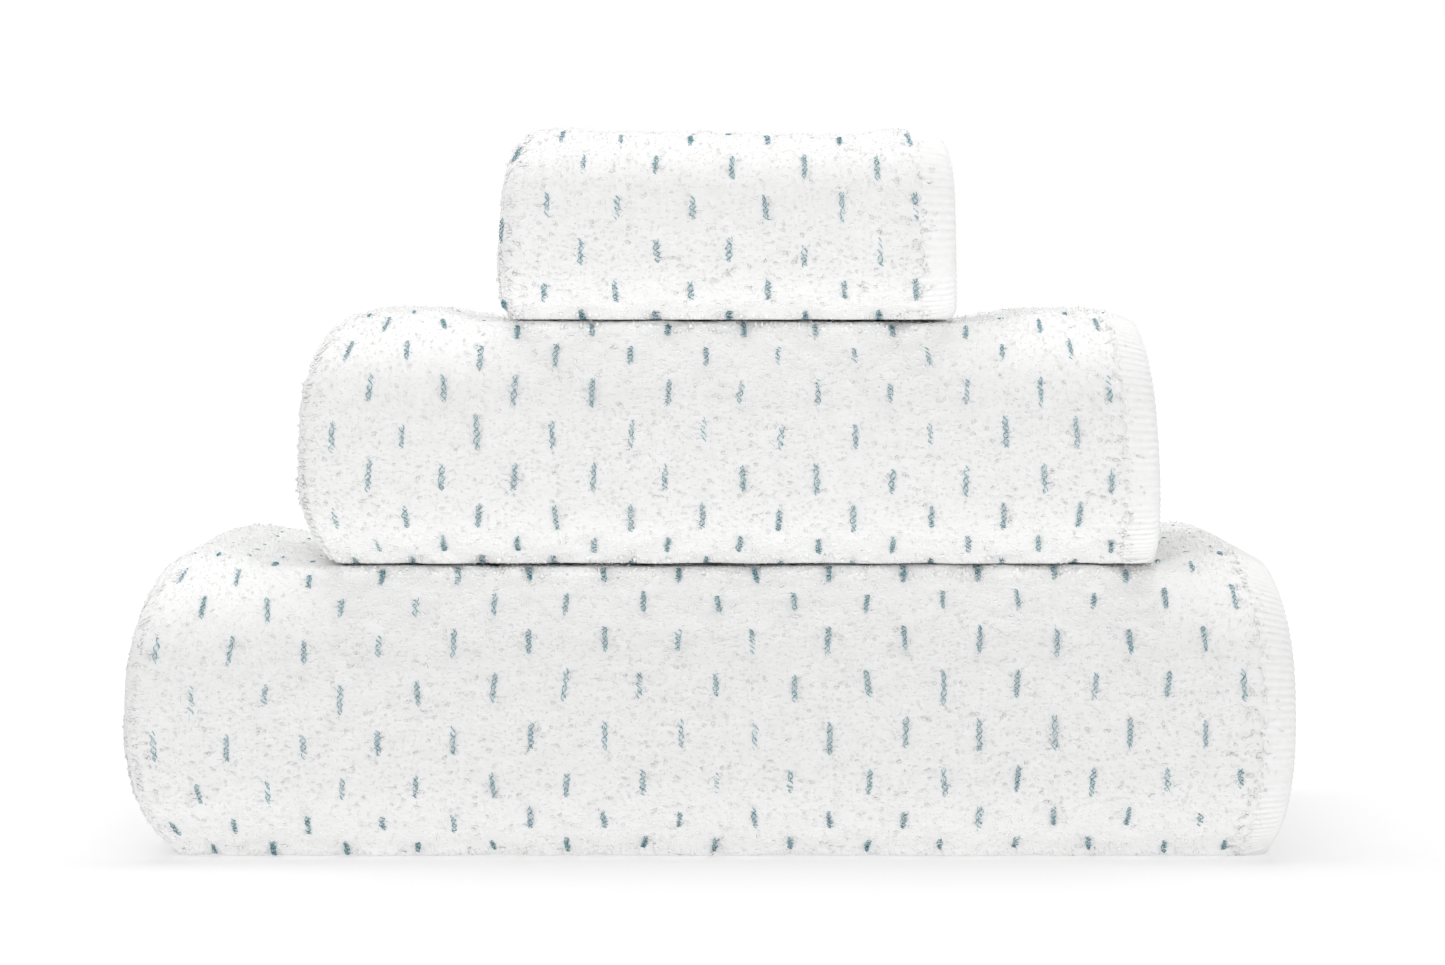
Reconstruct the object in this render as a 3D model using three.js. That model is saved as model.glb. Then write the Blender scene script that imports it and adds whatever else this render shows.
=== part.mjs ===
// A set of three terry towels, folded and stacked: bath towel, hand towel and face towel.
//
// Millimetres, +Z up. The rolled fronts of the towels face -Y, their creased sides are at -X and
// their hemmed sides at +X. The origin is at the middle of the stack's footprint, on the surface
// that it rests on.
//
// Each towel is folded the same way. It is first doubled across its width, so that its two long
// edges lie together at +X. The doubled cloth is then folded back and forth along its length into
// flat strands, and the last of those folds is the thick roll at the front.

import * as THREE from 'three';

// Driving dimensions.
const TOUCH_GAP = 0.4; // air between faces that lie on each other
const HEM_WIDTH = 11;
const HEM_THICKNESS = 3.2;
const THREAD_SIZE = 0.8;
const THREAD_LIFT = 0.3; // clearance of a thread over its hem
const THREAD_INSET = 1.6; // from a hem's inner margin to its thread
const FRONT_FOLD_STEPS = 10; // flats in the half circle of a fold at the front
const BACK_FOLD_STEPS = 8;
const CREASE_DIVISIONS = 3; // half as many as the flats in the half circle where the cloth is doubled

// order lists the levels, from 0 at the bottom, that the doubled cloth visits from its outer end
// to its inner end. Here it is folded in thirds and then in half, or twice in half.
const THIRDS_THEN_HALF = [0, 5, 4, 1, 2, 3];
const HALF_THEN_HALF = [0, 3, 2, 1];

// width and height are the folded towel's, and length is the opened cloth's. tail is how far its
// ends reach past the middle of the back folds. side and setback place it over the bath towel.
const TOWELS = [
  { name: 'bath', width: 350, height: 88, length: 1400, order: THIRDS_THEN_HALF, tail: 4, side: 0, setback: 0 },
  { name: 'hand', width: 260, height: 73, length: 1000, order: THIRDS_THEN_HALF, tail: 3, side: 6, setback: 1 },
  { name: 'face', width: 138, height: 56, length: 500, order: HALF_THEN_HALF, tail: 2, side: 5, setback: 2 },
];

const terry = new THREE.MeshStandardMaterial({ color: 0xf1f0ee, roughness: 1, metalness: 0 });
const hemTape = new THREE.MeshStandardMaterial({ color: 0xf5f4f2, roughness: 0.9, metalness: 0 });
const sewingThread = new THREE.MeshStandardMaterial({ color: 0xf8f8f6, roughness: 0.6, metalness: 0 });

/** Works out a towel's strands from its height and the length of its cloth. */
function withStrandSizes(towel) {
  const { order, side, width } = towel;
  const pitch = (towel.height + TOUCH_GAP) / order.length;
  const half = (pitch - TOUCH_GAP) / 2; // half of one strand, which is two layers of cloth
  const turns = order.slice(1).map((level, i) => Math.abs(level - order[i]));
  const bent = turns.reduce((sum, levels) => sum + (Math.PI * levels * pitch) / 2, 0);
  const straight = (towel.length - bent - 2 * towel.tail) / order.length;
  const frontRadius = towel.height / 2;
  return {
    ...towel,
    pitch,
    half,
    straight,
    frontRadius,
    depth: frontRadius + straight + pitch / 2 + half,
    layerMiddle: (half + TOUCH_GAP / 2) / 2, // from the middle of a strand to that of one layer
    creaseX: side - width / 2 + half, // centre of the doubled edge's half circle
    hemX: side + width / 2 - HEM_WIDTH,
    rightX: side + width / 2,
  };
}

/**
 * The line that a towel's doubled cloth follows, seen from its side: stations at (y, z), each with
 * the direction (ny, nz) of the cloth's outer face. trim shortens it at both ends.
 */
function foldLine(towel, trim = 0) {
  const nearY = towel.frontY + towel.frontRadius;
  const farY = nearY + towel.straight;
  const endY = farY + towel.tail - trim;
  const heights = towel.order.map((level) => towel.floorZ + towel.half + level * towel.pitch);
  const stations = [{ y: endY, z: heights[0], ny: 0, nz: -1 }];
  for (let i = 0; i < heights.length - 1; i += 1) {
    const heading = i % 2 === 0 ? -1 : 1; // the first strand runs towards the front
    const rise = heights[i + 1] - heights[i];
    const middleY = heading < 0 ? nearY : farY;
    const middleZ = heights[i] + rise / 2;
    const steps = heading < 0 ? FRONT_FOLD_STEPS : BACK_FOLD_STEPS;
    for (let step = 0; step <= steps; step += 1) {
      const angle = (Math.PI * step) / steps;
      stations.push({
        y: middleY + (heading * Math.abs(rise) * Math.sin(angle)) / 2,
        z: middleZ - (rise * Math.cos(angle)) / 2,
        ny: -Math.sign(rise) * Math.sin(angle),
        nz: heading * Math.cos(angle),
      });
    }
  }
  stations.push({ y: endY, z: heights.at(-1), ny: 0, nz: 1 });
  return stations;
}

/** The short straight piece of the fold line between two distances from one of its ends. */
function endOfLine(towel, atOuterEnd, from, to) {
  const line = foldLine(towel);
  const tip = atOuterEnd ? line[0] : line.at(-1);
  const near = { ...tip, y: tip.y - from };
  const far = { ...tip, y: tip.y - to };
  return atOuterEnd ? [near, far] : [far, near];
}

/** A closed solid: a section of (x, n) points, counter-clockwise, carried along stations. */
function sweep(section, stations) {
  const positions = [];
  for (const { y, z, ny, nz } of stations) {
    for (const point of section) {
      positions.push(point.x, y + point.y * ny, z + point.y * nz);
    }
  }
  const count = section.length;
  const index = [];
  for (let ring = 0; ring < stations.length - 1; ring += 1) {
    for (let k = 0; k < count; k += 1) {
      const a = ring * count + k;
      const b = ring * count + ((k + 1) % count);
      index.push(a, a + count, b, b, a + count, b + count);
    }
  }
  const lastRing = (stations.length - 1) * count;
  for (const [a, b, c] of THREE.ShapeUtils.triangulateShape(section, [])) {
    index.push(a, b, c, lastRing + a, lastRing + c, lastRing + b);
  }
  const geometry = new THREE.BufferGeometry();
  geometry.setAttribute('position', new THREE.Float32BufferAttribute(positions, 3));
  geometry.setIndex(index);
  geometry.computeVertexNormals();
  return geometry;
}

/** The section of doubled cloth: two layers that end at rightX and join in a half circle. */
function doubledSection(creaseX, rightX, outer, inner) {
  const shape = new THREE.Shape();
  shape.moveTo(rightX, outer);
  shape.lineTo(creaseX, outer);
  shape.absarc(creaseX, 0, outer, Math.PI / 2, (3 * Math.PI) / 2, false);
  shape.lineTo(rightX, -outer);
  shape.lineTo(rightX, -inner);
  shape.lineTo(creaseX, -inner);
  shape.absarc(creaseX, 0, inner, (3 * Math.PI) / 2, Math.PI / 2, true);
  shape.lineTo(rightX, inner);
  return withoutRepeats(shape.getPoints(CREASE_DIVISIONS));
}

/** The section of a flat ribbon or a thread. */
function ribbonSection(fromX, toX, low, high) {
  const shape = new THREE.Shape();
  shape.moveTo(toX, high);
  shape.lineTo(fromX, high);
  shape.lineTo(fromX, low);
  shape.lineTo(toX, low);
  return withoutRepeats(shape.getPoints());
}

/** Drops each point that lies on the one before it, and a last point that closes the outline. */
function withoutRepeats(points) {
  const same = 1e-6;
  return points.filter((point, i) => {
    const before = points[(i + points.length - 1) % points.length];
    return point.distanceTo(before) > same;
  });
}

/** The terry cloth itself, in one piece, without the hems along its four edges. */
function terryCloth(towel) {
  const section = doubledSection(
    towel.creaseX,
    towel.hemX - TOUCH_GAP,
    towel.half,
    TOUCH_GAP / 2,
  );
  return sweep(section, foldLine(towel, HEM_WIDTH + TOUCH_GAP));
}

/** A hem along one long edge. layer is 1 on the outer layer of the doubled cloth, or -1. */
function sideHem(towel, layer) {
  const middle = layer * towel.layerMiddle;
  const section = ribbonSection(
    towel.hemX,
    towel.rightX,
    middle - HEM_THICKNESS / 2,
    middle + HEM_THICKNESS / 2,
  );
  return sweep(section, foldLine(towel));
}

/** The sewing thread along a side hem, near the hem's inner margin. */
function sideHemThread(towel, layer) {
  const near = towel.layerMiddle + HEM_THICKNESS / 2 + THREAD_LIFT;
  const heights = [layer * near, layer * (near + THREAD_SIZE)];
  const fromX = towel.hemX + THREAD_INSET;
  const section = ribbonSection(
    fromX,
    fromX + THREAD_SIZE,
    Math.min(...heights),
    Math.max(...heights),
  );
  return sweep(section, foldLine(towel));
}

/** A hem along one short edge, which goes round the crease with the doubled cloth. */
function endHem(towel, atOuterEnd) {
  const section = doubledSection(
    towel.creaseX,
    towel.hemX - TOUCH_GAP,
    towel.layerMiddle + HEM_THICKNESS / 2,
    towel.layerMiddle - HEM_THICKNESS / 2,
  );
  return sweep(section, endOfLine(towel, atOuterEnd, 0, HEM_WIDTH));
}

/** The sewing thread across an end hem. */
function endHemThread(towel, atOuterEnd) {
  const near = towel.layerMiddle + HEM_THICKNESS / 2 + THREAD_LIFT;
  const section = doubledSection(
    towel.creaseX,
    towel.hemX - TOUCH_GAP,
    near + THREAD_SIZE,
    near,
  );
  const at = HEM_WIDTH - THREAD_INSET - THREAD_SIZE;
  return sweep(section, endOfLine(towel, atOuterEnd, at, at + THREAD_SIZE));
}

function named(name, geometry, material) {
  const mesh = new THREE.Mesh(geometry, material);
  mesh.name = name;
  return mesh;
}

/** One folded towel: its cloth, its four hems and the thread that holds each hem. */
function foldedTowel(towel) {
  const group = new THREE.Group();
  group.add(named(`${towel.name}_terry_cloth`, terryCloth(towel), terry));
  for (const [place, layer] of [['outer', 1], ['inner', -1]]) {
    group.add(named(`${towel.name}_side_hem_${place}`, sideHem(towel, layer), hemTape));
    group.add(named(`${towel.name}_side_thread_${place}`, sideHemThread(towel, layer), sewingThread));
  }
  for (const [place, atOuterEnd] of [['outer', true], ['inner', false]]) {
    group.add(named(`${towel.name}_end_hem_${place}`, endHem(towel, atOuterEnd), hemTape));
    group.add(named(`${towel.name}_end_thread_${place}`, endHemThread(towel, atOuterEnd), sewingThread));
  }
  return group;
}

/** Stacks the towels, largest first, with their fronts nearly in one plane. */
function towelStack() {
  const group = new THREE.Group();
  const sized = TOWELS.map(withStrandSizes);
  const stackFrontY = -sized[0].depth / 2;
  let floorZ = 0;
  for (const towel of sized) {
    group.add(foldedTowel({ ...towel, frontY: stackFrontY + towel.setback, floorZ }));
    floorZ += towel.height + TOUCH_GAP;
  }
  return group;
}

export default towelStack();
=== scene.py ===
"""A stack of three terry towels. Each towel's cloth, hems, yarns and pile are laid out flat, as on
the loom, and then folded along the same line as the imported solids."""

import math

import bmesh
import bpy
import numpy as np
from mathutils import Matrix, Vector


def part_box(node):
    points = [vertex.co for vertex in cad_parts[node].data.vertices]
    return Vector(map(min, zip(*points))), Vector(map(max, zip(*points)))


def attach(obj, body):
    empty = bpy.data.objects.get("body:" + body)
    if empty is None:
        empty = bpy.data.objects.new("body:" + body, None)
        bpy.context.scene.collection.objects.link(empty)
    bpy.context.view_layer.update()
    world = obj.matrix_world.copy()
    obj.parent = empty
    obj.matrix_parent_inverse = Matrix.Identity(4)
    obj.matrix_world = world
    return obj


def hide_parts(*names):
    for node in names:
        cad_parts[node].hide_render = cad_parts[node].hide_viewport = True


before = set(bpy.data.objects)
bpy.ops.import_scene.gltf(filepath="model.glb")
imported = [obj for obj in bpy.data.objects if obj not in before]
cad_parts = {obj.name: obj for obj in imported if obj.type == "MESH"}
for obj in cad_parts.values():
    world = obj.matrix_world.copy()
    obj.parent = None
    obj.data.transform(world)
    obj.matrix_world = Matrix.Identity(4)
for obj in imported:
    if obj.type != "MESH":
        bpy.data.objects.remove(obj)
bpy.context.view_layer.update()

MM = 0.001

# How the doubled cloth runs through each towel: the levels from its outer end to its inner end.
THIRDS_THEN_HALF = (0, 5, 4, 1, 2, 3)
HALF_THEN_HALF = (0, 3, 2, 1)
TOUCH_GAP = 0.4 * MM        # between neighbouring folds

# How a folded towel settles.
END_REACH = 45 * MM         # how far in from its ends a towel's shape is drawn in
CORNER_REACH = 18 * MM      # how far in from its ends its top corners sink
NOSE_POWER = 2.4            # of the front rolls' superellipse, where 2 is a half circle
SQUEEZE_POWER = 0.8         # added to it where a roll is pressed flat against its neighbour
REST_GAP = 0.15 * MM        # under the lowest point of each towel

# The woven pattern is short blue floats in staggered rows. row is their spacing along the cloth,
# first_row and first_column place the pattern, measured from the middle of the front and from X = 0,
# and droop is how far its rows sink towards the creased side.
# left and right shape each end of a towel: how far its corners draw in at the top and at the
# bottom, how sharply, and how much wider the whole end is at the bottom than at the top. end_puff is
# how far the top swells up beside the towel above, and drop is how far its outer corners sink.
TOWELS = {
    "bath": {
        "order": THIRDS_THEN_HALF,
        "row": 15.0 * MM, "first_row": -5.8 * MM, "first_column": -8.8 * MM, "droop": 4.0 * MM,
        "flat": (0.70, 1.40), "seed": 11, "end_puff": 3.6 * MM, "drop": 2.2 * MM,
        "left": {"top": 11 * MM, "bottom": 12 * MM, "power": 2.5, "flare": 0.0},
        "right": {"top": 7 * MM, "bottom": 6.5 * MM, "power": 2.8, "flare": 0.0},
    },
    "hand": {
        "order": THIRDS_THEN_HALF,
        "row": 13.6 * MM, "first_row": 3.1 * MM, "first_column": -1.4 * MM, "droop": 0.0,
        "flat": (0.52, 1.00), "seed": 23, "end_puff": 3.2 * MM, "drop": 2.2 * MM,
        "left": {"top": 11 * MM, "bottom": 10 * MM, "power": 3.0, "flare": 2.0 * MM},
        "right": {"top": 4 * MM, "bottom": 2 * MM, "power": 3.0, "flare": 4.3 * MM},
    },
    "face": {
        "order": HALF_THEN_HALF,
        "row": 14.2 * MM, "first_row": -8.2 * MM, "first_column": 6.2 * MM, "droop": 0.0,
        "flat": (0.28, 0.50), "seed": 37, "end_puff": 1.6 * MM, "drop": 0.8 * MM,
        "left": {"top": 6 * MM, "bottom": 1 * MM, "power": 2.2, "flare": 2.0 * MM},
        "right": {"top": 4 * MM, "bottom": 0.0, "power": 4.0, "flare": 1.2 * MM},
    },
}
ABOVE = {"bath": "hand", "hand": "face", "face": None}

# Sizes of what is on the cloth.
DASH_PITCH = 22.4 * MM      # between neighbouring floats of a row
DASH_LENGTH = 11.5 * MM
DASH_MARGIN = -1 * MM       # from a hem to the nearest float, which may reach a little into it
RIB_PITCH = 2.0 * MM
RIB_FADE = 9 * MM           # how far past the hem its ribs still show in the pile
STITCH_LENGTH = 2.6 * MM
STITCH_PITCH = 3.1 * MM
STITCH_INSET = 9.0 * MM     # from the cloth's edge to its stitches
HEM_OVERLAP = 1.4 * MM      # of cloth under its hems
TUCK = 0.6 * MM             # how far the cloth's face sinks to pass under its hems
PLACES = ("outer", "inner")

# Where the mesh is fine, and how fine.
FINE_CELL = 1.4 * MM        # where the pile is seen
SIDE_CELL = 2.2 * MM        # at the crease and on the cloth's inner layer
COARSE_CELL = 12 * MM       # where it is hidden
BEND_CELL = 3 * MM          # along the cloth where it bends
CREASE_CELL = 2.6 * MM      # across the cloth where it is creased
CREASE_MARGIN = 4 * MM      # of cloth on each side of the crease that counts as part of it
REFINE_ROUNDS = 5

# The pile's tufts. Each has a pointed end, a section of four points and another pointed end.
TUFT_SPACING = 1.5 * MM
TUFTS_PER_PIECE = 24000
HIDDEN_SHARE = 0.5          # of the tufts, where the pile shows only from behind or on a lifted towel
TUFT_SECTION = np.radians([-20, 62, 118, 200])  # the four points' angles round the tuft
TUFT_FACES = np.array([
    [0, 2, 1], [0, 3, 2], [0, 4, 3], [0, 1, 4],
    [5, 1, 2], [5, 2, 3], [5, 3, 4], [5, 4, 1],
])
TUFT_POINTS = 6

# Colours of the cottons, in pairs where they vary from place to place.
PILE_WHITES = ((0.80, 0.80, 0.795), (0.84, 0.84, 0.837))
# painted shade: low-lying pile, between its loops and round the floats, is mixed towards this darker,
# warmer white
PAINTED_RECESS_SHADE = (0.79, 0.765, 0.74)
HEM_WHITES = ((0.82, 0.82, 0.815), (0.86, 0.86, 0.857))
# painted light: pile and hems are mixed towards this paler white near a towel's top and bottom, which
# lifts the shade in the creases where the rolls meet
PAINTED_LIGHT_WHITE = (0.96, 0.96, 0.955)     # of pile and hems at a towel's top and bottom
THREAD_WHITES = ((0.88, 0.88, 0.875), (0.95, 0.95, 0.945))
YARN_BLUES = ((0.10, 0.31, 0.38), (0.28, 0.54, 0.62))
YARN_FLECK = (0.72, 0.80, 0.82)


# ---------------------------------------------------------------- camera, floor and light

def make_camera():
    """Level with the top towel, from far away, straight at the fronts."""
    lo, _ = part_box("bath_terry_cloth")
    distance = 1.77
    eye_height, aim_height = 0.178, 0.1137
    data = bpy.data.cameras.new("camera")
    data.sensor_width = 36
    data.lens = 148.5
    camera = bpy.data.objects.new("camera", data)
    bpy.context.scene.collection.objects.link(camera)
    camera.location = (0.004, lo.y - distance, eye_height)
    pitch = math.atan2(eye_height - aim_height, distance)
    camera.rotation_euler = (math.pi / 2 - pitch, 0, 0)
    data.clip_end = 30
    bpy.context.scene.camera = camera


def make_floor():
    """A white table that glows a little, and more the further out, so that shadows on it stay faint
    and it runs into the background."""
    data = bpy.data.meshes.new("floor")
    reach = 9.0
    data.from_pydata(
        [(-reach, -reach, 0), (reach, -reach, 0), (reach, reach, 0), (-reach, reach, 0)],
        [],
        [(0, 1, 2, 3)],
    )
    floor = bpy.data.objects.new("floor", data)
    bpy.context.scene.collection.objects.link(floor)
    material = bpy.data.materials.new("floor_white")
    material.use_nodes = True
    shader = material.node_tree.nodes["Principled BSDF"]
    shader.inputs["Base Color"].default_value = (0.63, 0.63, 0.63, 1)
    shader.inputs["Roughness"].default_value = 0.9
    shader.inputs["Specular IOR Level"].default_value = 0.1
    shader.inputs["Emission Color"].default_value = (1, 1, 1, 1)
    tree = material.node_tree
    length = tree.nodes.new("ShaderNodeVectorMath")
    length.operation = "LENGTH"
    place = tree.nodes.new("ShaderNodeTexCoord").outputs["Object"]
    tree.links.new(place, length.inputs[0])
    glow = tree.nodes.new("ShaderNodeMapRange")
    glow.interpolation_type = "SMOOTHSTEP"
    glow.inputs["From Min"].default_value = 0.25
    glow.inputs["From Max"].default_value = 1.3
    glow.inputs["To Min"].default_value = 0.39
    glow.inputs["To Max"].default_value = 0.80
    tree.links.new(length.outputs["Value"], glow.inputs["Value"])
    tree.links.new(glow.outputs["Result"], shader.inputs["Emission Strength"])
    data.materials.append(material)
    return floor


def add_area_light(name, place, aim, size, power):
    """A rectangular lamp at place that faces aim, size across and high, in metres and watts."""
    data = bpy.data.lights.new(name, "AREA")
    data.shape = "RECTANGLE"
    data.size, data.size_y = size
    data.energy = power
    lamp = bpy.data.objects.new(name, data)
    bpy.context.scene.collection.objects.link(lamp)
    lamp.location = place
    lamp.rotation_euler = (Vector(place) - Vector(aim)).to_track_quat("Z", "Y").to_euler()


def make_world():
    """A white studio: full brightness round the horizon, and dimmer above it."""
    world = bpy.data.worlds.new("studio")
    bpy.context.scene.world = world
    world.use_nodes = True
    tree = world.node_tree
    direction = tree.nodes.new("ShaderNodeTexCoord").outputs["Generated"]
    split = tree.nodes.new("ShaderNodeSeparateXYZ")
    tree.links.new(direction, split.inputs["Vector"])
    fade = tree.nodes.new("ShaderNodeMapRange")
    fade.inputs["From Min"].default_value = 0.30
    fade.inputs["From Max"].default_value = 0.60
    fade.inputs["To Min"].default_value = 1.0
    fade.inputs["To Max"].default_value = 0.2
    tree.links.new(split.outputs["Z"], fade.inputs["Value"])
    background = tree.nodes["Background"]
    background.inputs["Color"].default_value = (1, 1, 1, 1)
    tree.links.new(fade.outputs["Result"], background.inputs["Strength"])


def make_light():
    make_world()
    add_area_light("overhead", (-0.1, 0.25, 1.6), (0, 0.02, 0.1), (1.6, 1.2), 18)
    add_area_light("front_high", (0.1, -2.0, 1.5), (0, 0, 0.1), (2.0, 1.0), 8)
    add_area_light("front_low", (0, -2.6, 0.30), (0, 0, 0.1), (2.4, 0.9), 10)
    bpy.context.scene.view_settings.view_transform = "Standard"


# ---------------------------------------------------------------- noise in numpy

def hashed(ix, iy, seed):
    """A repeatable number from 0 to 1 for each lattice cell."""
    h = (ix * 374761393 + iy * 668265263 + seed * 982451653) & 0xFFFFFFFF
    h = ((h ^ (h >> 13)) * 1274126177) & 0xFFFFFFFF
    return ((h ^ (h >> 16)) & 0xFFFF) / 65535.0


def soft_noise(x, y, seed):
    """Smooth noise from -1 to 1, one bump per unit."""
    ix, iy = np.floor(x).astype(np.int64), np.floor(y).astype(np.int64)
    fx, fy = x - ix, y - iy
    fx, fy = fx * fx * (3 - 2 * fx), fy * fy * (3 - 2 * fy)
    low = hashed(ix, iy, seed) * (1 - fx) + hashed(ix + 1, iy, seed) * fx
    high = hashed(ix, iy + 1, seed) * (1 - fx) + hashed(ix + 1, iy + 1, seed) * fx
    return 2 * (low * (1 - fy) + high * fy) - 1


def tuft_noise(x, y, seed):
    """Rounded heads, about one per unit cell, from 0 between them to 1 on top of them."""
    ix, iy = np.floor(x).astype(np.int64), np.floor(y).astype(np.int64)
    nearest = np.full(x.shape, 9.0)
    for dx in (-1, 0, 1):
        for dy in (-1, 0, 1):
            cx, cy = ix + dx, iy + dy
            px = cx + 0.5 + 0.75 * (hashed(cx, cy, seed) - 0.5)
            py = cy + 0.5 + 0.75 * (hashed(cx, cy, seed + 7) - 0.5)
            nearest = np.minimum(nearest, (px - x) ** 2 + (py - y) ** 2)
    return np.sqrt(np.clip(1 - nearest, 0, 1))


def smooth_step(x, low, high):
    """0 below low and 1 above high, with a smooth rise between them."""
    t = np.clip((x - low) / (high - low), 0, 1)
    return t * t * (3 - 2 * t)


def end_inset(end, up):
    """How far a towel's end draws in at a height from -1, the bottom, to 1, the top."""
    corner = np.where(up > 0, end["top"], end["bottom"])
    return corner * np.abs(up) ** end["power"] + end["flare"] * (1 + up) / 2


# ---------------------------------------------------------------- the folded towel

class Towel:
    """One towel's sizes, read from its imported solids, and the map from flat cloth to folded cloth.

    Flat coordinates: a runs across the cloth from its outer long edge to its inner one, s runs
    along the line that the doubled cloth follows, and n is the height over the cloth's middle."""

    def __init__(self, name):
        self.name = name
        self.__dict__.update(TOWELS[name])
        lo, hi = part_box(f"{name}_terry_cloth")
        hem_lo, hem_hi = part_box(f"{name}_side_hem_outer")
        _, end_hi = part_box(f"{name}_end_hem_outer")
        self.left_x, self.right_x = lo.x, hem_hi.x
        self.middle_x = (lo.x + hem_hi.x) / 2
        self.low_z = lo.z
        self.middle_z = (lo.z + hi.z) / 2
        self.height = hi.z - lo.z
        self.hem_width = hem_hi.x - hem_lo.x
        self.pitch = (self.height + TOUCH_GAP) / len(self.order)
        self.half = (self.pitch - TOUCH_GAP) / 2
        self.layer_middle = (self.half + TOUCH_GAP / 2) / 2
        self.layer = self.half - TOUCH_GAP / 2
        self.crease_x = lo.x + self.half
        self.to_crease = self.right_x - self.crease_x
        self.crease_arc = math.pi * self.layer_middle
        self.across_size = 2 * self.to_crease + self.crease_arc
        self.near_y = lo.y + self.height / 2
        self.far_y = hi.y - self.pitch / 2 - self.half
        self.end_y = end_hi.y
        self.free_from = self.find_free_top()
        self.make_line()

    def make_line(self):
        """Straights and half circles that the doubled cloth follows, from its outer end."""
        heights = [self.low_z + self.half + level * self.pitch for level in self.order]
        legs = []
        last = len(heights) - 1
        for i, z in enumerate(heights):
            heading = -1 if i % 2 == 0 else 1
            begin = self.end_y if i == 0 else (self.far_y if heading < 0 else self.near_y)
            finish = self.end_y if i == last else (self.near_y if heading < 0 else self.far_y)
            angle = math.pi if heading < 0 else 0.0
            legs.append((abs(finish - begin), begin, z, angle, 0.0))
            if i < last:
                rise = heights[i + 1] - z
                bend = heading * math.copysign(2 / abs(rise), rise)
                legs.append((math.pi * abs(rise) / 2, finish, z, angle, bend))
        lengths, self.leg_y, self.leg_z, self.leg_angle, self.leg_bend = map(np.array, zip(*legs))
        self.leg_end = np.cumsum(lengths)
        self.leg_start = self.leg_end - lengths
        turned = np.cumsum(np.concatenate([[0], lengths * self.leg_bend]))
        self.leg_turned = turned[:-1]
        self.length = self.leg_end[-1]
        self.inner_fold = 7 if last > 3 else None  # the back fold that shows the cloth's inner layer
        self.wrap_start = self.leg_start[1] - 20 * MM  # of what shows of the outer end's wrap: the
        self.wrap_end = self.leg_end[3] + 14 * MM      # front roll, the top and the back fold

    def leg(self, s):
        return np.clip(np.searchsorted(self.leg_end, s, side="left"), 0, len(self.leg_end) - 1)

    def on_line(self, s):
        """The line's place and the direction of the cloth's outer face at distance s along it."""
        k = self.leg(s)
        ds = s - self.leg_start[k]
        bend, angle = self.leg_bend[k], self.leg_angle[k]
        turning = np.abs(bend) > 1e-9
        safe = np.where(turning, bend, 1.0)
        now = angle + bend * ds
        y = self.leg_y[k] + np.where(turning, (np.sin(now) - np.sin(angle)) / safe, np.cos(angle) * ds)
        z = self.leg_z[k] + np.where(turning, (np.cos(angle) - np.cos(now)) / safe, np.sin(angle) * ds)
        return y, z, -np.sin(now), np.cos(now)

    def turned(self, s):
        """How far the line's heading has turned by distance s, in radians."""
        k = self.leg(s)
        return self.leg_turned[k] + self.leg_bend[k] * (s - self.leg_start[k])

    def offset(self, a, n):
        """Doubles the cloth: X, and the offset m from the middle of the doubled cloth."""
        radius = self.layer_middle + n
        turn = np.clip((a - self.to_crease) / self.layer_middle, 0, math.pi)
        before = np.clip(self.to_crease - a, 0, None)
        after = np.clip(a - self.to_crease - self.crease_arc, 0, None)
        return self.crease_x + before + after - radius * np.sin(turn), radius * np.cos(turn)

    def surface(self, a, s):
        """Distance along the cloth's outer face itself, counted from the middle of the front."""
        _, m = self.offset(a, np.full(np.shape(a), self.layer / 2))
        return s - m * self.turned(s) - self.surface_zero()

    def surface_zero(self):
        s = self.leg_start[1] + (self.leg_end[1] - self.leg_start[1]) / 2
        return float(s - self.half * self.turned(s))

    def from_surface(self, a, distance):
        """The inverse of surface(): s for each (a, distance)."""
        table = np.linspace(0, self.length, 4000)
        turned = self.turned(table)
        _, m = self.offset(a, np.full(np.shape(a), self.layer / 2))
        found = np.empty(len(a))
        for i in range(len(a)):
            found[i] = np.interp(distance[i] + self.surface_zero(), table - m[i] * turned, table)
        return found

    def fold(self, a, s, n):
        """Flat cloth to folded cloth."""
        x, m = self.offset(a, n)
        y, z, ny, nz = self.on_line(s)
        return self.settle(x, y + m * ny, z + m * nz)

    def settle(self, x, y, z):
        """The slack of real cloth: ends that round off, flare or puff up, and a base that lies flat."""
        up = (z - self.middle_z) / (self.height / 2)
        front = 1 - smooth_step(y, self.near_y - 10 * MM, self.near_y + 60 * MM)
        side = np.abs(x - self.middle_x) / ((self.right_x - self.left_x) / 2)
        squeeze = self.squeezed(side, up)
        x_new = self.drawn_in(x, up, front)
        bow = 1.0 * MM * soft_noise(x / (90 * MM), z / (60 * MM), self.seed + 3)
        y_new = y + front * (bow - self.filled_out(y, z, squeeze))
        z_new = z + self.raised(x, side, up)
        z_new = z_new + self.shut(x, y_new, up, squeeze)
        z_new = np.maximum(z_new, self.low_z + REST_GAP)
        return np.stack([x_new, y_new, z_new], axis=-1)

    def drawn_in(self, x, up, front):
        """X where each end draws in towards its corners, most of all at the front and the top."""
        near_left = 1 - smooth_step(x - self.left_x, 0, END_REACH)
        near_right = 1 - smooth_step(self.right_x - x, 0, END_REACH)
        slack = 0.35 + 0.65 * np.maximum(front, 0.7 * smooth_step(up, 0, 0.6))
        x_new = x + near_left * slack * end_inset(self.left, up)
        return x_new - near_right * slack * end_inset(self.right, up)

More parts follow.
